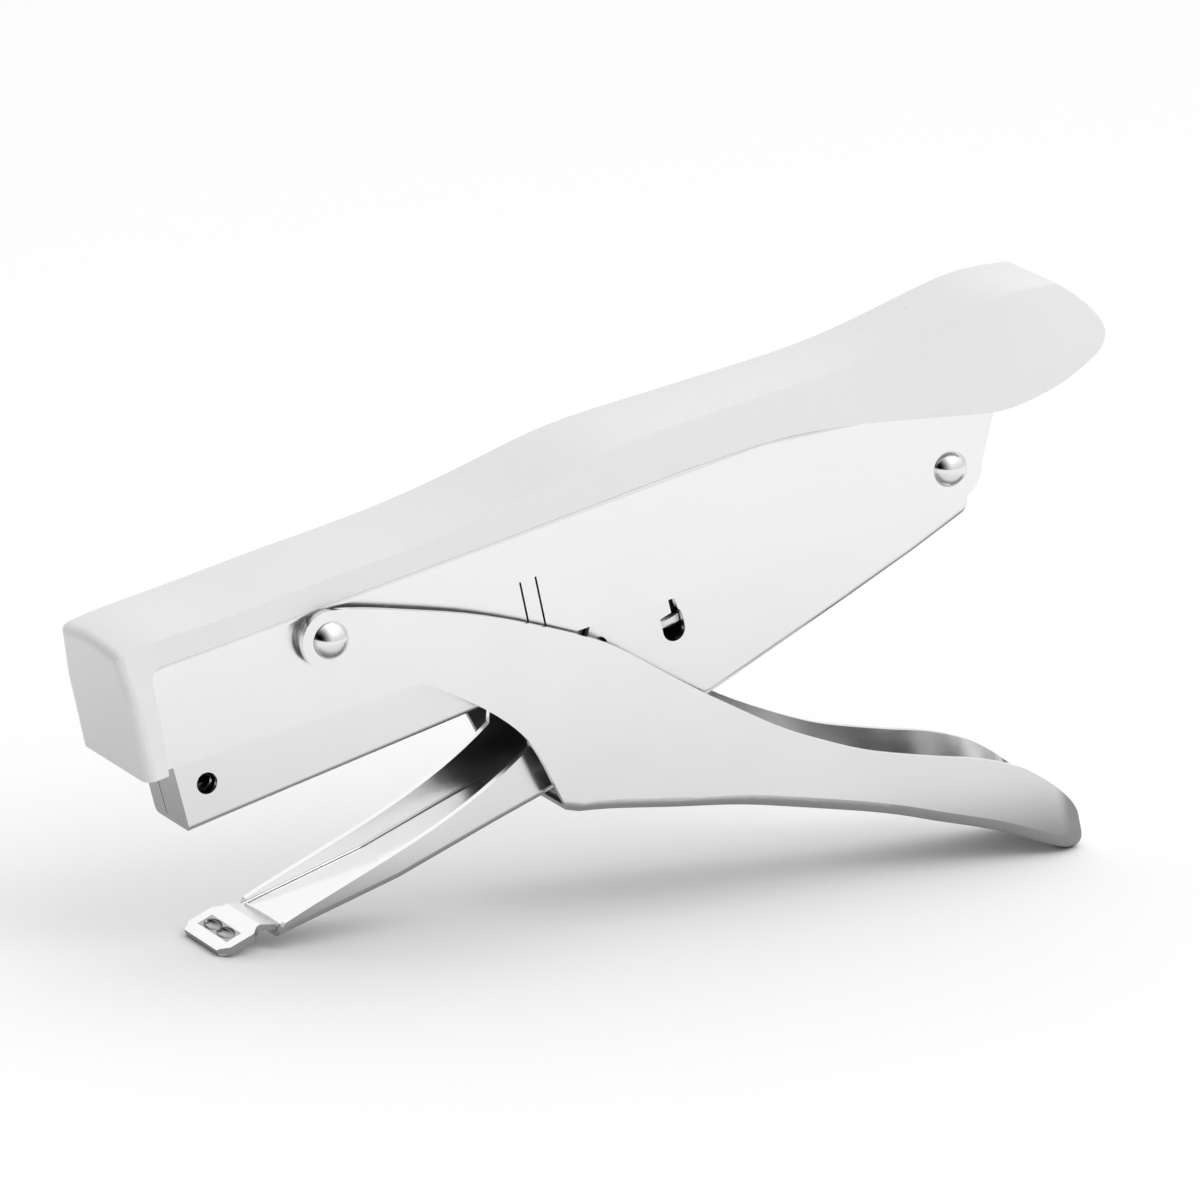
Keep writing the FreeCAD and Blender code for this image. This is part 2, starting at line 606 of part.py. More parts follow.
def clinch_insert():
    """Hardened insert with two hollows that curl the staple's legs inwards."""
    end = WINDOW_START + WINDOW_LENGTH
    block = box(WINDOW_START, end, -WINDOW_HALF, WINDOW_HALF, 0.1, PLATE_THICK - 0.02)
    middle = WINDOW_START + WINDOW_LENGTH / 2
    hollows = []
    for side in (-1, 1):
        ball = Part.makeSphere(3.2, FreeCAD.Vector(0, 0, 0))
        squeeze = FreeCAD.Matrix()
        squeeze.scale(0.34, 0.74, 0.26)
        hollow = ball.transformGeometry(squeeze)
        hollow.translate(FreeCAD.Vector(middle, side * 2.15, PLATE_THICK))
        hollows.append(hollow)
    return on_plate(block.cut(Part.makeCompound(hollows)))


def wire_along(points, radius):
    """A round wire of straight runs joined by balls at its corners."""
    solids = []
    for here, there in zip(points, points[1:]):
        run = there.sub(here)
        solids.append(Part.makeCylinder(radius, run.Length, here, run))
    solids += [Part.makeSphere(radius, p) for p in points[1:-1]]
    return solids


def return_spring_one_side():
    """Torsion spring round a rear spacer. Its long leg hooks into the arm's keyhole and its short
    leg presses up on the frame's roof."""
    hub = REAR_PIVOT
    y = SPRING_PLANE
    r = SPRING_WIRE / 2
    coil = Part.makeTorus(SPRING_COIL, r, at(*hub, y), FreeCAD.Vector(0, 1, 0))
    low = (hub[0] - 0.3, hub[1] - SPRING_COIL)
    hook = (84.88, -17.2)
    high = (hub[0] - 1.4, hub[1] + SPRING_COIL - 0.3)
    top_end = (118.0, -2.45)
    inner = ARM_HALF - ARM_SHEET - 0.1
    wires = wire_along([at(*low, y), at(*hook, y), at(*hook, inner)], r)
    wires[1] = Part.makeCylinder(0.36, y - inner, at(*hook, inner), FreeCAD.Vector(0, 1, 0))
    wires += wire_along([at(*high, y), at(*top_end, y)], r)
    wires.append(Part.makeSphere(r, at(*top_end, y)))
    return coil.fuse(wires).removeSplitter()


def return_springs():
    return pair(return_spring_one_side())


# ---- lever --------------------------------------------------------------------------------------
def lever_half(u):
    """Outer half width of the lever: wide over the frame, easing to the narrower handle."""
    share = min(max((u - TAPER_START) / (TAPER_END - TAPER_START), 0.0), 1.0)
    ease = share * share * (3 - 2 * share)
    return LEVER_HALF_FRONT - (LEVER_HALF_FRONT - LEVER_HALF_TAIL) * ease


def lever_plan(inset):
    """Plan of the lever, extruded upright: straight, eased in, straight, and a round-cornered end."""
    tail = TAIL_ARC_CENTRE[0] + TAIL_ARC_RADIUS - inset
    half = LEVER_HALF_TAIL - inset
    corner = TAIL_CORNER - inset
    count = 8
    eased = [TAPER_START + (TAPER_END - TAPER_START) * i / count for i in range(count + 1)]
    low, high = -100.0, 60.0

    def point(u, y):
        return FreeCAD.Vector(u, y, low)

    def taper(side):
        curve = Part.BSplineCurve()
        curve.interpolate([point(u, side * (lever_half(u) - inset)) for u in eased])
        return curve.toShape()

    def tail_corner(side):
        lean = corner * (1 - math.sqrt(0.5))
        return Part.Arc(point(tail - corner, side * half), point(tail - lean, side * (half - lean)),
                        point(tail, side * (half - corner))).toShape()

    front = LEVER_HALF_FRONT - inset
    edges = [
        Part.LineSegment(point(0, front), point(0, -front)).toShape(),
        Part.LineSegment(point(0, -front), point(TAPER_START, -front)).toShape(),
        taper(-1),
        Part.LineSegment(point(TAPER_END, -half), point(tail - corner, -half)).toShape(),
        tail_corner(-1),
        Part.LineSegment(point(tail, corner - half), point(tail, half - corner)).toShape(),
        tail_corner(1),
        Part.LineSegment(point(tail - corner, half), point(TAPER_END, half)).toShape(),
        taper(1),
        Part.LineSegment(point(TAPER_START, front), point(0, front)).toShape(),
    ]
    face = Part.Face(Part.Wire(Part.__sortEdges__(edges)))
    return face.extrude(FreeCAD.Vector(0, 0, high - low))


def lever_side():
    ear = 4.4
    hub = FRONT_PIVOT
    c = TAIL_ARC_CENTRE
    r = TAIL_ARC_RADIUS
    return outline(
        LIP, LEVER_UNDERSIDE[0], ("curve",) + LEVER_UNDERSIDE[1:-1] + (on_ray(c, r, -125),),
        ("arc", on_ray(c, r, -70), on_ray(c, r, 0)),
        ("curve", (143.0, -74.9), (141.0, -71.2), (138.3, -67.6), (135.2, -64.4), (131.2, -61.5),
         (126.4, -59.0), (122.0, -57.2), (116.5, -54.8), (110.4, -51.9), (103.2, -47.4), (97.6, -43.4),
         (91.1, -37.8), (85.3, -32.6), (77.5, -25.0), (72.1, -20.0), (66.0, -15.9), (60.1, -12.4),
         (51.7, -8.0), (42.1, -3.9), (36.6, -1.7), on_ray(hub, ear, 75)),
        ("arc", on_ray(hub, ear, 175), on_ray(hub, ear, 250)),
        ("curve", (34.4, -10.7), (39.8, -13.5), (47.2, -18.9), (53.2, -24.6), (57.1, -30.2),
         (59.0, -36.0), (59.9, -39.6), LIP))


def squeeze_lever():
    """Handle pressed from one sheet: two cheeks with round ears, joined by a web underneath that
    wraps up round the tail."""
    outer = both_ways(lever_side(), 20).common(lever_plan(0))
    outer = rounded(outer, WEB_ROUND, under_web)
    t = LEVER_SHEET
    c = TAIL_ARC_CENTRE
    r = TAIL_ARC_RADIUS - t
    under = raised(LEVER_UNDERSIDE, t * 1.12)
    hollow = both_ways(outline(
        (20.0, -60.0), (LIP[0] - 0.4, -60.0), (LIP[0] - 0.4, LIP[1] + t), under[0],
        ("curve",) + tuple(under[1:-1]) + (on_ray(c, r, -125),),
        ("arc", on_ray(c, r, -70), on_ray(c, r, 0)),
        (160.0, c[1]), (160.0, 60.0), (20.0, 60.0)), 20).common(lever_plan(t))
    shape = outer.cut(hollow)
    hole = rod_across(FRONT_PIVOT, RIVET_RADIUS + RIVET_FIT, -20, 20)
    return shape.cut(hole)


def under_web(edge):
    """Long lower edges, where a cheek meets the web, up to the tail's round corners."""
    span = edge.LastParameter - edge.FirstParameter
    places = [edge.valueAt(edge.FirstParameter + share * span) for share in (0, 0.25, 0.5, 0.75, 1)]
    along = all(LIP[0] - 1 < p.x < LEVER_UNDERSIDE[-1][0] for p in places)
    return (along and edge.Length > 1.6
            and all(abs(p.y) > 2.0 and abs(p.z - underside_height(p.x)) < 2.2 for p in places))


def underside_height(u):
    points = (LIP,) + LEVER_UNDERSIDE
    for (u0, w0), (u1, w1) in zip(points, points[1:]):
        if u <= u1:
            return w0 + (w1 - w0) * (u - u0) / (u1 - u0)
    return points[-1][1]


def press_saddle():
    """Hardened saddle welded on the lever's web, whose round back lifts the arm."""
    face = outline((64.1, -43.1), (64.2, -41.4), ("arc", (66.9, -39.5), (69.4, -42.1)), (69.5, -44.7))
    return both_ways(face, 5.4).cut(squeeze_lever())


# ---- assembly -----------------------------------------------------------------------------------
def standing_tilt():
    """Angle that brings the anvil tip and the round of the tail to one height."""
    du = TAIL_ARC_CENTRE[0] - ANVIL_TIP[0]
    dw = TAIL_ARC_CENTRE[1] - ANVIL_TIP[1]
    return math.degrees(math.asin(TAIL_ARC_RADIUS / math.hypot(du, dw)) - math.atan2(dw, du))


PIECES = {
    "frame_channel": frame_channel,
    "top_cover": top_cover,
    "driver_blade": driver_blade,
    "driver_rivets": driver_rivets,
    "front_rivet": front_rivet,
    "rear_rivet": rear_rivet,
    "front_spacers": front_spacers,
    "rear_spacers": rear_spacers,
    "pivot_tube": pivot_tube,
    "magazine_spring": magazine_spring,
    "leaf_rivet": leaf_rivet,
    "magazine_channel": magazine_channel,
    "staple_rail": staple_rail,
    "guide_rod": guide_rod,
    "rod_anchor": rod_anchor,
    "stop_pin": stop_pin,
    "pusher_spring": pusher_spring,
    "pusher": pusher,
    "anvil_arm": anvil_arm,
    "clinch_insert": clinch_insert,
    "return_springs": return_springs,
    "squeeze_lever": squeeze_lever,
    "press_saddle": press_saddle,
}


def build():
    """All pieces in the standing frame, and the move that brought them there."""
    tilt = standing_tilt()
    made = {}
    for name, make in PIECES.items():
        shape = make()
        shape.rotate(at(0, 0), FreeCAD.Vector(0, 1, 0), -tilt)
        made[name] = shape
    bounds = FreeCAD.BoundBox()
    for shape in made.values():
        bounds.add(shape.optimalBoundingBox(False, False))
    shift = FreeCAD.Vector(-bounds.Center.x, -bounds.Center.y, -bounds.ZMin)
    for shape in made.values():
        shape.translate(shift)
    return made, tilt, shift


def standing(point, tilt, shift):
    turn = FreeCAD.Rotation(FreeCAD.Vector(0, 1, 0), -tilt)
    return turn.multVec(at(*point)).add(shift)


def main():
    os.makedirs("parts", exist_ok=True)
    made, tilt, shift = build()
    for name, shape in made.items():
        print(f"{name}: {len(shape.Solids)} solid(s), {shape.Volume:.1f} mm3, valid {shape.isValid()}")
        shape.exportStep(f"parts/{name}.step")
    print("tilt", round(tilt, 4), "shift", shift)
    for name, pivot in (("front pivot", FRONT_PIVOT), ("rear pivot", REAR_PIVOT)):
        print(name, standing(pivot, tilt, shift))


main()
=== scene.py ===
"""Looks of the plier stapler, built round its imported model. Lengths are in metres, save where a comment
says millimetres."""
import json
import math
import bmesh
import bpy
from mathutils import Matrix, Vector


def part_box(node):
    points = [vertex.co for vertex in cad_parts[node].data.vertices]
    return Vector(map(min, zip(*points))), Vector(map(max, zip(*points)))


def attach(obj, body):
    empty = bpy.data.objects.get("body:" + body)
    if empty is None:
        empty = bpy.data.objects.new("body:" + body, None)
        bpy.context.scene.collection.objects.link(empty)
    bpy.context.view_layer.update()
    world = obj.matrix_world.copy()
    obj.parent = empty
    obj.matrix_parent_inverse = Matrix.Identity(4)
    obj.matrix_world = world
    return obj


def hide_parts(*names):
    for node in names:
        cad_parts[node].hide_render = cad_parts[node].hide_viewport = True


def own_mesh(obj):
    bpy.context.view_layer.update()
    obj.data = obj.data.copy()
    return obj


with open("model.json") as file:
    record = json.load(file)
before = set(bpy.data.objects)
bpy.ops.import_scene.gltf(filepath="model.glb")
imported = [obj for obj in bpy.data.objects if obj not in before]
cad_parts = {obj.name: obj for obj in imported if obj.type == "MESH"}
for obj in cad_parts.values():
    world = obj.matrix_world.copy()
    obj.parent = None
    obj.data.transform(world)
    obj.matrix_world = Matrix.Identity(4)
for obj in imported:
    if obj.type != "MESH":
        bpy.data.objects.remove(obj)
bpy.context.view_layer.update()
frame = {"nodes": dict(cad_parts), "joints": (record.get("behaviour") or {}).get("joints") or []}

NODES = frame["nodes"]

# ---- view ---------------------------------------------------------------------------------------
AZIMUTH = -27.0            # degrees round the stapler, towards the nose
ELEVATION = 16.0           # degrees above the horizon
LEAN = 1.4151              # degrees the camera leans with the stapler, about the +Y axis
TARGET = Vector((0.00098, 0.0, 0.04443))
DISTANCE = 1.5
FRAME_WIDTH = 0.1722       # width of the picture at the target
SENSOR = 36.0              # width of the camera's sensor, in millimetres

# ---- places and directions ----------------------------------------------------------------------
JOINTS = {joint["name"]: joint for joint in frame["joints"]}
REAR_PIVOT = Vector(JOINTS["arm_swing"]["pos_m"])
SLIDE = Vector(JOINTS["pusher_slide"]["axis"])
ACROSS = Vector((0, 1, 0))
TILT = math.radians(13.8151)           # lean of the body frame, in which u runs back and w up
REAR_PIVOT_BODY = (131.2, -14.3)       # the rear pivot in the body frame, in millimetres
ALONG = Vector((math.cos(TILT), 0.0, math.sin(TILT)))
UP = Vector((-math.sin(TILT), 0.0, math.cos(TILT)))


def body_place(u, w, y=0.0):
    """A place given in millimetres in the body frame, in the standing frame in metres."""
    du = (u - REAR_PIVOT_BODY[0]) / 1000
    dw = (w - REAR_PIVOT_BODY[1]) / 1000
    return REAR_PIVOT + du * ALONG + dw * UP + Vector((0.0, y / 1000, 0.0))


# ---- shader building blocks ---------------------------------------------------------------------
def new_material(name):
    """A new material, with its node tree and its main shader."""
    material = bpy.data.materials.new(name)
    material.use_nodes = True
    tree = material.node_tree
    shader = tree.nodes["Principled BSDF"]
    return material, tree, shader


def add(tree, kind, **values):
    """A new node with the given settings."""
    node = tree.nodes.new(kind)
    for key, value in values.items():
        setattr(node, key, value)
    return node


def object_place(tree, stretch):
    """Coordinates on the object, stretched along each axis."""
    place = add(tree, "ShaderNodeTexCoord")
    scale = add(tree, "ShaderNodeMapping")
    scale.inputs["Scale"].default_value = stretch
    tree.links.new(place.outputs["Object"], scale.inputs["Vector"])
    return scale.outputs["Vector"]


def noise(tree, vector, scale, detail, roughness=0.55):
    """Smooth random values; a larger scale gives smaller patches."""
    node = add(tree, "ShaderNodeTexNoise")
    node.inputs["Scale"].default_value = scale
    node.inputs["Detail"].default_value = detail
    node.inputs["Roughness"].default_value = roughness
    tree.links.new(vector, node.inputs["Vector"])
    return node.outputs["Fac"]


def spread(tree, value, low, high, from_low=0.3, from_high=0.7, kind="LINEAR"):
    """The value, spread from one range to another."""
    node = add(tree, "ShaderNodeMapRange", interpolation_type=kind)
    node.inputs["From Min"].default_value = from_low
    node.inputs["From Max"].default_value = from_high
    node.inputs["To Min"].default_value = low
    node.inputs["To Max"].default_value = high
    tree.links.new(value, node.inputs["Value"])
    return node.outputs["Result"]


def tint(tree, value, dark, light):
    """A colour between two, as the value goes from 0 to 1."""
    node = add(tree, "ShaderNodeMix", data_type="RGBA")
    node.inputs["A"].default_value = (*dark, 1.0)
    node.inputs["B"].default_value = (*light, 1.0)
    tree.links.new(value, node.inputs["Factor"])
    return node.outputs["Result"]


def times(tree, first, second):
    """Two values multiplied."""
    node = add(tree, "ShaderNodeMath", operation="MULTIPLY")
    tree.links.new(first, node.inputs[0])
    tree.links.new(second, node.inputs[1])
    return node.outputs[0]


def total(tree, *parts):
    """Sum of values, each times its weight."""
    whole = None
    for value, weight in parts:
        scaled = add(tree, "ShaderNodeMath", operation="MULTIPLY")
        tree.links.new(value, scaled.inputs[0])
        scaled.inputs[1].default_value = weight
        if whole is None:
            whole = scaled.outputs[0]
        else:
            joined = add(tree, "ShaderNodeMath", operation="ADD")
            tree.links.new(whole, joined.inputs[0])
            tree.links.new(scaled.outputs[0], joined.inputs[1])
            whole = joined.outputs[0]
    return whole


RELIEF_DEPTH = 0.0002      # height of the finishes' bumps at full strength


def bump(tree, shader, height, strength):
    """Small relief in the shader's surface."""
    node = add(tree, "ShaderNodeBump")
    node.inputs["Strength"].default_value = strength
    node.inputs["Distance"].default_value = RELIEF_DEPTH
    tree.links.new(height, node.inputs["Height"])
    tree.links.new(node.outputs["Normal"], shader.inputs["Normal"])


SHELTERED = 0.25           # openness of a place that gets the full painted shade
OPEN = 0.72                # openness of a place that gets no painted shade
SHELTER_RAYS = 8


# Painted shade: ambient occlusion darkens the colour in gaps, corners and between parts, where shade
# would fall.
def painted_crevice_shade(tree, colour, reach, depth):
    """The colour with painted shade, darkened in narrow gaps and inside corners."""
    shelter = add(tree, "ShaderNodeAmbientOcclusion", samples=SHELTER_RAYS)
    shelter.inputs["Distance"].default_value = reach
    shade = spread(tree, shelter.outputs["AO"], depth, 1.0, SHELTERED, OPEN)
    node = add(tree, "ShaderNodeMix", data_type="RGBA", blend_type="MULTIPLY")
    node.inputs["Factor"].default_value = 1.0
    tree.links.new(colour, node.inputs["A"])
    tree.links.new(shade, node.inputs["B"])
    return node.outputs["Result"]


FLAT_POINTINESS = 0.505    # above this an edge starts to be worn
WORN_POINTINESS = 0.56     # and here it is worn all through


def edge_wear(tree):
    """Near 1 on worn edges and 0 on flat faces."""
    place = add(tree, "ShaderNodeNewGeometry")
    return spread(tree, place.outputs["Pointiness"], 0.0, 1.0, FLAT_POINTINESS, WORN_POINTINESS)


# ---- finishes -----------------------------------------------------------------------------------
# Each noise is its scale and its detail, and where it isn't the usual one its roughness.
METAL_CLOUD = (55.0, 3.0)
METAL_STREAKS = (420.0, 5.0, 0.6)
METAL_SPECKS = (2600.0, 2.0)
METAL_PAINTED_SHADE = 0.12       # what is left of the colour under the deepest painted shade in a gap
METAL_RELIEF = 0.05
COVER_CLOUD = (40.0, 2.0)
COVER_SCUFFS = (900.0, 5.0, 0.65)
COVER_SPECKS = (3000.0, 2.0)
COVER_SHADE_REACH = 0.0007       # how far the painted shade from a wall reaches onto the cover
# What is left of the cover's colour under the deepest painted shade.
COVER_PAINTED_SHADE = 0.35
COVER_RELIEF = 0.04
COVER_ROUGH = (0.26, 0.38)
EVEN = (1.0, 1.0, 1.0)     # grain of the same length each way
ROLLED = (0.15, 1.0, 1.0)  # grain drawn out along the stapler
BRUSHED = (0.2, 1.0, 1.0)
CROSSWISE = (1.0, 0.2, 1.0)


def metal(name, dark, light, rough, scratch=1.0, grain=EVEN, shelter=0.0009):
    """Plated or bare steel with rolling grain, fine scratches, a mottled polish and painted shade in its
    gaps.
    """
    material, tree, shader = new_material(name)
    shader.inputs["Metallic"].default_value = 1.0
    plain = object_place(tree, EVEN)
    drawn = object_place(tree, grain)
    cloud = noise(tree, plain, *METAL_CLOUD)
    streaks = noise(tree, drawn, *METAL_STREAKS)
    specks = noise(tree, plain, *METAL_SPECKS)
    wear = edge_wear(tree)
    colour = tint(tree, total(tree, (cloud, 0.6), (streaks, 0.4)), dark, light)
    # Painted shade in the gaps, where other parts close round the metal.
    tree.links.new(painted_crevice_shade(tree, colour, shelter, METAL_PAINTED_SHADE), shader.inputs["Base Color"])
    mottled = spread(tree, cloud, rough * 0.7, rough * 1.25)
    streaked = spread(tree, streaks, rough * 0.6, rough * 1.4)
    polish = total(tree, (mottled, 0.6), (streaked, 0.4), (wear, 0.05))
    tree.links.new(polish, shader.inputs["Roughness"])
    bump(tree, shader, total(tree, (streaks, 0.8), (specks, 0.2)), METAL_RELIEF * scratch)
    return material


def enamel(name, dark, light):
    """Gloss moulded cover: a clear skin with faint waviness, hairline scuffs and painted shade next to
    walls.
    """
    material, tree, shader = new_material(name)
    plain = object_place(tree, EVEN)
    along = object_place(tree, (0.25, 1.0, 1.0))
    cloud = noise(tree, plain, *COVER_CLOUD)
    scuffs = noise(tree, along, *COVER_SCUFFS)
    specks = noise(tree, plain, *COVER_SPECKS)
    colour = tint(tree, total(tree, (cloud, 0.7), (specks, 0.3)), dark, light)
    # Painted shade next to walls that close round the cover.
    tree.links.new(painted_crevice_shade(tree, colour, COVER_SHADE_REACH, COVER_PAINTED_SHADE), shader.inputs["Base Color"])
    polish = spread(tree, total(tree, (cloud, 0.5), (scuffs, 0.5)), *COVER_ROUGH)
    tree.links.new(polish, shader.inputs["Roughness"])
    shader.inputs["Specular IOR Level"].default_value = 0.45
    shader.inputs["Coat Weight"].default_value = 0.25
    shader.inputs["Coat Roughness"].default_value = 0.12
    bump(tree, shader, total(tree, (cloud, 0.5), (scuffs, 0.3), (specks, 0.2)), COVER_RELIEF)
    return material


# Each metal has its darkest and lightest colour, and its roughness. Some say how deep the scratches
# are, which way the grain runs, and how far the painted shade from a wall reaches onto the metal next to
# it.
MATERIALS = {
    "cover": enamel("cover_gloss", (0.76, 0.76, 0.76), (0.80, 0.80, 0.80)),
    "nickel": metal("bright_nickel", (0.80, 0.80, 0.805), (0.90, 0.90, 0.905), 0.16,
                    grain=ROLLED),
    "channel": metal("channel_nickel", (0.78, 0.78, 0.785), (0.88, 0.88, 0.885), 0.17,
                     scratch=1.1, grain=ROLLED, shelter=0.0035),
    "handle": metal("polished_nickel", (0.78, 0.78, 0.785), (0.89, 0.89, 0.895), 0.13,
                    scratch=0.9, grain=BRUSHED),
    "rivet": metal("rivet_polish", (0.74, 0.74, 0.745), (0.86, 0.86, 0.865), 0.10,
                   scratch=0.6),
    "insert": metal("clinch_steel", (0.30, 0.30, 0.31), (0.48, 0.48, 0.49), 0.22,
                    scratch=1.4, grain=CROSSWISE, shelter=0.0015),
    "spring": metal("spring_wire", (0.42, 0.42, 0.43), (0.60, 0.60, 0.61), 0.24,
                    scratch=1.2),
    "tool": metal("hardened_steel", (0.50, 0.50, 0.51), (0.66, 0.66, 0.67), 0.28,
                  scratch=1.4, grain=CROSSWISE),
}

FINISH = {
    "frame_channel": "nickel",
    "top_cover": "cover",
    "driver_blade": "tool",
    "driver_rivets": "rivet",
    "front_rivet": "rivet",
    "rear_rivet": "rivet",
    "front_spacers": "rivet",
    "rear_spacers": "rivet",
    "pivot_tube": "rivet",
    "magazine_spring": "spring",
    "leaf_rivet": "rivet",
    "magazine_channel": "channel",
    "staple_rail": "nickel",
    "guide_rod": "rivet",
    "rod_anchor": "nickel",
    "stop_pin": "rivet",
    "pusher_spring": "spring",
    "pusher": "nickel",
    "anvil_arm": "handle",
    "clinch_insert": "insert",
    "return_springs": "spring",
    "squeeze_lever": "handle",
    "press_saddle": "tool",
}

# ---- soft edges ---------------------------------------------------------------------------------
SLIGHT_EDGE = 0.0001       # width of the soft edge where the next table gives none
EDGES = {
    "top_cover": 0.0007,
    "frame_channel": 0.0003,
    "magazine_channel": 0.00015,
    "anvil_arm": 0.0002,
    "squeeze_lever": 0.00028,
}
SHARP_FROM = 24            # least angle of an edge that is softened, in degrees
EDGE_ANGLES = {"squeeze_lever": 65, "anvil_arm": 50}       # where 24 would catch a bend's own lines
EDGE_SEGMENTS = 3
FLAT_WEIGHT = 80           # how far the flat faces set the shading of the edges


def dress(name):
    """Gives a carried-over node its finish and softly rounded edges."""
    node = NODES[name]
    node.data.materials.clear()
    node.data.materials.append(MATERIALS[FINISH[name]])
    soft = node.modifiers.new("soft_edges", "BEVEL")
    soft.width = EDGES.get(name, SLIGHT_EDGE)
    soft.segments = EDGE_SEGMENTS
    soft.limit_method = "ANGLE"
    soft.angle_limit = math.radians(EDGE_ANGLES.get(name, SHARP_FROM))
    soft.harden_normals = False
    soft.use_clamp_overlap = True
    even = node.modifiers.new("even_shading", "WEIGHTED_NORMAL")
    even.keep_sharp = False
    even.weight = FLAT_WEIGHT


for node_name in NODES:
    dress(node_name)


# ---- springs ------------------------------------------------------------------------------------
def tube(name, path, radius, sides=14):
    """A round wire through the places of a path, with closed ends."""
    mesh = bpy.data.meshes.new(name)
    shape = bmesh.new()
    rings = []
    side = None
    for index, place in enumerate(path):
        before = path[max(index - 1, 0)]
        after = path[min(index + 1, len(path) - 1)]
        run = (after - before).normalized()
        if side is None:
            side = run.orthogonal().normalized()
        side = (side - side.dot(run) * run).normalized()
        other = run.cross(side)
        ring = []
        for step in range(sides):
            turn = 2 * math.pi * step / sides
            outward = math.cos(turn) * side + math.sin(turn) * other
            ring.append(shape.verts.new(place + radius * outward))
        rings.append(ring)
    for ring, following in zip(rings, rings[1:]):
        for step in range(sides):
            beside = (step + 1) % sides
            shape.faces.new((ring[step], ring[beside], following[beside], following[step]))
    shape.faces.new(list(reversed(rings[0])))
    shape.faces.new(rings[-1])
    for face in shape.faces:
        face.smooth = len(face.verts) == 4
    bmesh.ops.recalc_face_normals(shape, faces=shape.faces)
    shape.to_mesh(mesh)
    shape.free()
    wire = bpy.data.objects.new(name, mesh)
    bpy.context.scene.collection.objects.link(wire)
    mesh.materials.append(MATERIALS["spring"])
    return wire


# The return springs, in millimetres in the body frame. One has its coil on each side of the frame.
RETURN_PLANE = 7.85        # from the middle of the stapler to the coil
RETURN_COIL = 3.3          # radius of the coil, round the rear pivot
RETURN_STEPS = 40
RETURN_START = 0.25 * math.pi          # where the coil starts, past its lowest point
RETURN_WIRE = 0.0004       # radius of the wire, in metres
HOOK = (
    (84.85, -16.9, 6.1),
    (84.85, -16.9, RETURN_PLANE - 0.6),
    (84.95, -16.95, RETURN_PLANE - 0.15),
)
LONG_LEG = ((85.3, -16.98), (88.0, -17.0), (106.0, -16.9), (127.0, -16.9))
SHORT_LEG = ((129.6, -11.3), (127.6, -9.85), (121.0, -4.8), (118.3, -2.7), (118.0, -2.5))


def return_spring(side):
    """Torsion spring round a rear spacer: its coil and long leg go with the arm, and its short leg
    stays on the frame."""
    word = "far" if side > 0 else "near"
    hub_u, hub_w = REAR_PIVOT_BODY
    across = side * RETURN_PLANE
    path = [body_place(u, w, side * y) for u, w, y in HOOK]
    path += [body_place(u, w, across) for u, w in LONG_LEG]
    for step in range(RETURN_STEPS + 1):
        angle = 2 * math.pi * (step / RETURN_STEPS) - RETURN_START
        u = hub_u + RETURN_COIL * math.sin(angle)
        w = hub_w - RETURN_COIL * math.cos(angle)
        path.append(body_place(u, w, across))
    long_leg = tube("return_spring_leg_" + word, path, RETURN_WIRE)
    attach(long_leg, "arm")
    upper = [body_place(u, w, across) for u, w in SHORT_LEG]
    short_leg = tube("return_spring_arm_" + word, upper, RETURN_WIRE)
    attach(short_leg, "frame")
    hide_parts("return_springs")
    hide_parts("return_springs")


def pusher_coil():
    """Long compression spring on the guide rod, with its end coils closed."""
    low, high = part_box("pusher_spring")
    middle = (low + high) / 2
    length = 0.07604       # at rest
    wire = 0.00025         # radius of the wire
    radius = 0.0016        # of the coils
    turns = 26
    per_turn = 18          # places along each turn
    closed = 1.5           # turns that touch, at each end
    open_turns = turns - 2 * closed
    start = middle - SLIDE * length / 2
    lift = ACROSS.cross(SLIDE).normalized()
    path = []
    for step in range(turns * per_turn + 1):
        turned = step / per_turn
        inner = min(max(turned - closed, 0.0), open_turns) / open_turns
        at_start = min(turned, closed)
        at_end = max(turned - (turns - closed), 0.0)
        run = 2 * wire * (at_start + at_end) + (length - 4 * wire * closed) * inner
        angle = 2 * math.pi * turned
        outward = math.cos(angle) * lift + math.sin(angle) * ACROSS
        path.append(start + SLIDE * run + radius * outward)
    coil = tube("pusher_coil", path, wire, sides=8)
    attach(coil, "magazine")
    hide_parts("pusher_spring")
    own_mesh(coil)


return_spring(1)
return_spring(-1)
pusher_coil()

# ---- studio -------------------------------------------------------------------------------------
SKY_TOP = 1.32             # brightness of the room overhead
SKY_HORIZON = 0.84         # and at the horizon
SKY_NOSE = 0.0             # share of that brightness that is left on the side the nose faces
NOSE_SIDE = (-1, -0.15, 0)
KEY_POWER = 3.1            # watts
KEY_PLACE = (0.35, -0.9, 1.2)
KEY_SIZE = 0.7
KEY_AIM = (0.0, 0.0, 0.04)
FLOOR_TONE = 0.96
FLOOR_ROUGH = 0.9
FLOOR_REACH = 6.0

# The dark card that the polished metal mirrors from below lies just over the floor: painted shade in
# reflections.
CARD_TONE = 0.2            # brightness of the card's glow, a painted dark reflection
CARD_HEIGHT = 0.0004
CARD_SIDES = (-0.2, 0.22)  # its ends along X
CARD_FRONT = -0.21
CARD_BACK = 0.12
# Where the card goes from clear to dark along Y, and how much of the cover each step gives.
CARD_STEPS = ((-0.05, -0.012, 0.7), (-0.2, -0.04, 0.17))
# Where it fades out towards three of its borders: the axis, then clear, then dark.
CARD_BORDERS = (("X", -0.16, -0.05), ("X", 0.21, 0.13), ("Y", 0.11, 0.05))


def flat_panel(name, sides, front, back, height, material):
    """A level panel of the studio, from side to side along X and from front to back along Y."""
    left, right = sides
    corners = [(left, front, height), (right, front, height), (right, back, height), (left, back, height)]
    mesh = bpy.data.meshes.new(name)
    mesh.from_pydata(corners, [], [(0, 1, 2, 3)])
    panel = bpy.data.objects.new(name, mesh)
    bpy.context.scene.collection.objects.link(panel)
    mesh.materials.append(material)
    return panel


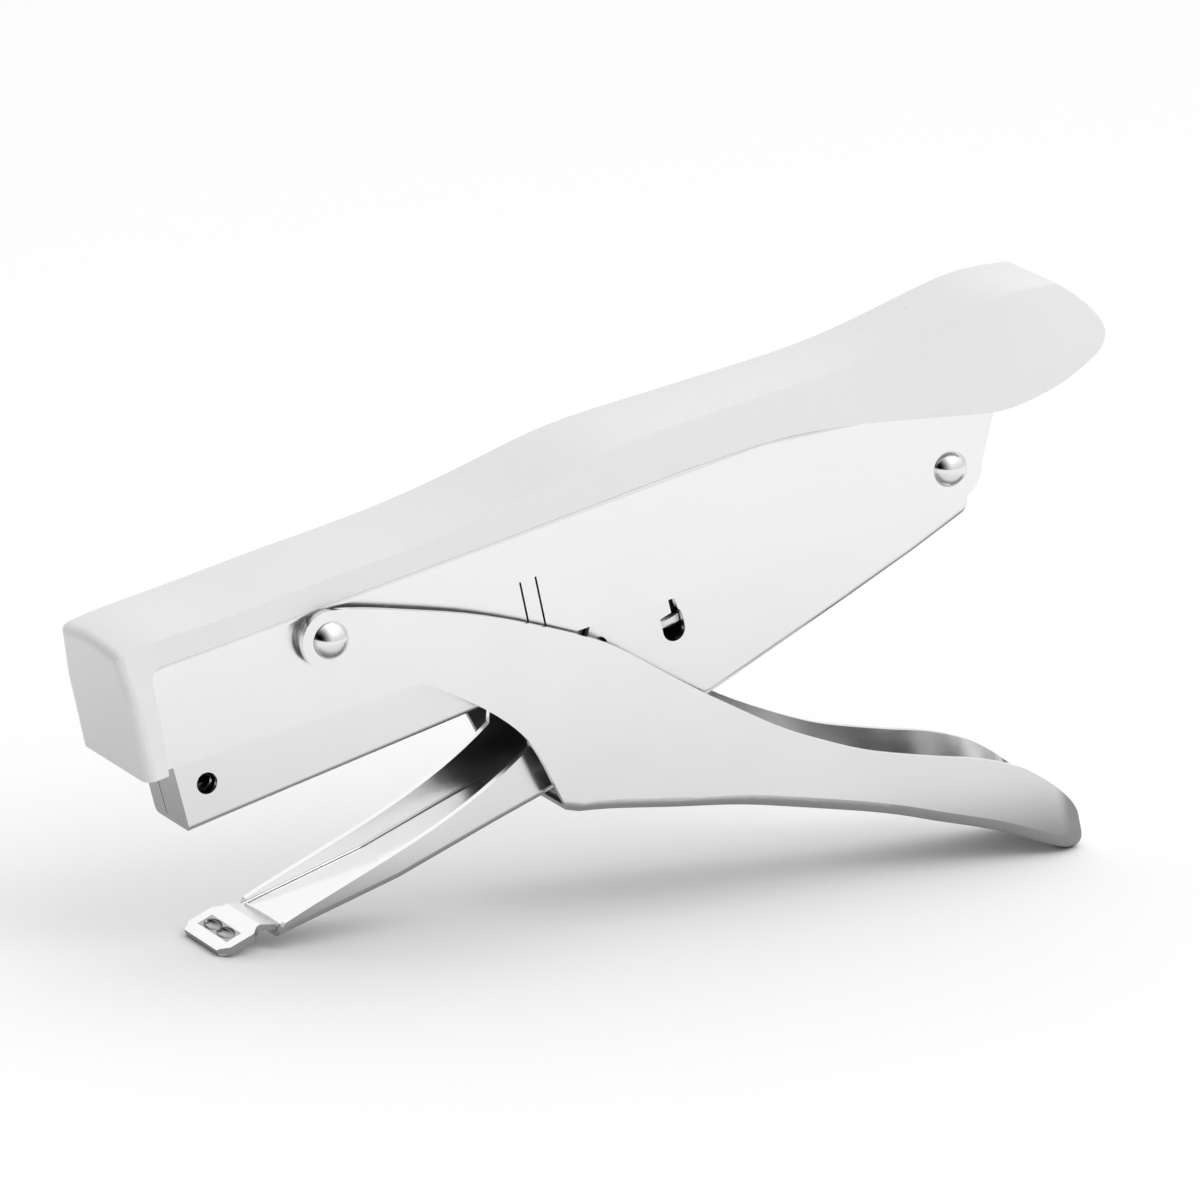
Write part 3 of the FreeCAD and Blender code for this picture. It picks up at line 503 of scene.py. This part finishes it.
def floor():
    """Wide pale floor that the stapler stands on."""
    material, _, shader = new_material("pale_floor")
    shader.inputs["Base Color"].default_value = (FLOOR_TONE, FLOOR_TONE, FLOOR_TONE, 1.0)
    shader.inputs["Roughness"].default_value = FLOOR_ROUGH
    flat_panel("floor", (-FLOOR_REACH, FLOOR_REACH), -FLOOR_REACH, FLOOR_REACH, 0, material)


def shade_card():
    """Dark card on the floor round the stapler, soft at its borders, that only mirrored rays meet:
    painted shade seen in the metal's reflections.
    """
    material, tree, _ = new_material("shade_card")
    place = add(tree, "ShaderNodeTexCoord")
    parts = add(tree, "ShaderNodeSeparateXYZ")
    tree.links.new(place.outputs["Object"], parts.inputs["Vector"])
    steps = []
    for clear, dark, share in CARD_STEPS:
        steps.append((spread(tree, parts.outputs["Y"], 0.0, 1.0, clear, dark, "SMOOTHSTEP"), share))
    cover = total(tree, *steps)
    for axis, clear, dark in CARD_BORDERS:
        border = spread(tree, parts.outputs[axis], 0.0, 1.0, clear, dark, "SMOOTHSTEP")
        cover = times(tree, cover, border)
    see_through = add(tree, "ShaderNodeBsdfTransparent")
    glow = add(tree, "ShaderNodeEmission")
    glow.inputs["Color"].default_value = (1.0, 1.0, 1.0, 1.0)
    glow.inputs["Strength"].default_value = CARD_TONE
    mixed = add(tree, "ShaderNodeMixShader")
    tree.links.new(cover, mixed.inputs["Fac"])
    tree.links.new(see_through.outputs[0], mixed.inputs[1])
    tree.links.new(glow.outputs[0], mixed.inputs[2])
    tree.links.new(mixed.outputs[0], tree.nodes["Material Output"].inputs["Surface"])
    card = flat_panel("shade_card", CARD_SIDES, CARD_FRONT, CARD_BACK, CARD_HEIGHT, material)
    card.visible_camera = False
    card.visible_diffuse = False
    card.visible_transmission = False
    card.visible_shadow = False
    card.visible_volume_scatter = False


def sky_share(tree, direction, low, high, at_low, at_high):
    """A value that changes with how far a ray of light comes from one direction."""
    place = add(tree, "ShaderNodeTexCoord")
    facing = add(tree, "ShaderNodeVectorMath", operation="DOT_PRODUCT")
    tree.links.new(place.outputs["Generated"], facing.inputs[0])
    facing.inputs[1].default_value = Vector(direction).normalized()
    return spread(tree, facing.outputs["Value"], at_low, at_high, low, high, "SMOOTHSTEP")


def soft_sky():
    """A white room: brighter overhead, and dimmer on the side that the nose faces."""
    world = bpy.data.worlds.new("studio")
    bpy.context.scene.world = world
    world.use_nodes = True
    tree = world.node_tree
    overhead = sky_share(tree, (0, 0, 1), 0.0, 0.9, SKY_HORIZON, SKY_TOP)
    nose_side = sky_share(tree, NOSE_SIDE, 0.05, 0.95, 1.0, SKY_NOSE)
    background = tree.nodes["Background"]
    background.inputs["Color"].default_value = (1.0, 1.0, 1.0, 1.0)
    tree.links.new(times(tree, overhead, nose_side), background.inputs["Strength"])


def key_light():
    """Square soft light high above the near side."""
    data = bpy.data.lights.new("key", "AREA")
    data.shape = "RECTANGLE"
    data.size = KEY_SIZE
    data.size_y = KEY_SIZE
    data.energy = KEY_POWER
    lamp = bpy.data.objects.new("key", data)
    bpy.context.scene.collection.objects.link(lamp)
    lamp.location = KEY_PLACE
    towards = Vector(KEY_AIM) - Vector(KEY_PLACE)
    lamp.rotation_euler = towards.to_track_quat("-Z", "Y").to_euler()


def camera():
    """The camera looks at the target from the near side, and leans with the stapler."""
    turn = math.radians(AZIMUTH)
    rise = math.radians(ELEVATION)
    back = Vector((math.sin(turn) * math.cos(rise), -math.cos(turn) * math.cos(rise), math.sin(rise)))
    across = Vector((math.cos(turn), math.sin(turn), 0.0))
    up = back.cross(across)
    lean = Matrix.Rotation(-math.radians(LEAN), 3, "Y")
    back, across, up = lean @ back, lean @ across, lean @ up
    data = bpy.data.cameras.new("camera")
    data.sensor_width = SENSOR
    data.lens = SENSOR * DISTANCE / FRAME_WIDTH
    data.clip_start = 0.05
    data.clip_end = 50.0
    view = bpy.data.objects.new("camera", data)
    bpy.context.scene.collection.objects.link(view)
    axes = Matrix((across, up, back)).transposed()
    view.matrix_world = Matrix.Translation(TARGET + DISTANCE * back) @ axes.to_4x4()
    bpy.context.scene.camera = view


floor()
shade_card()
soft_sky()
key_light()
camera()
bpy.context.scene.view_settings.view_transform = "Standard"
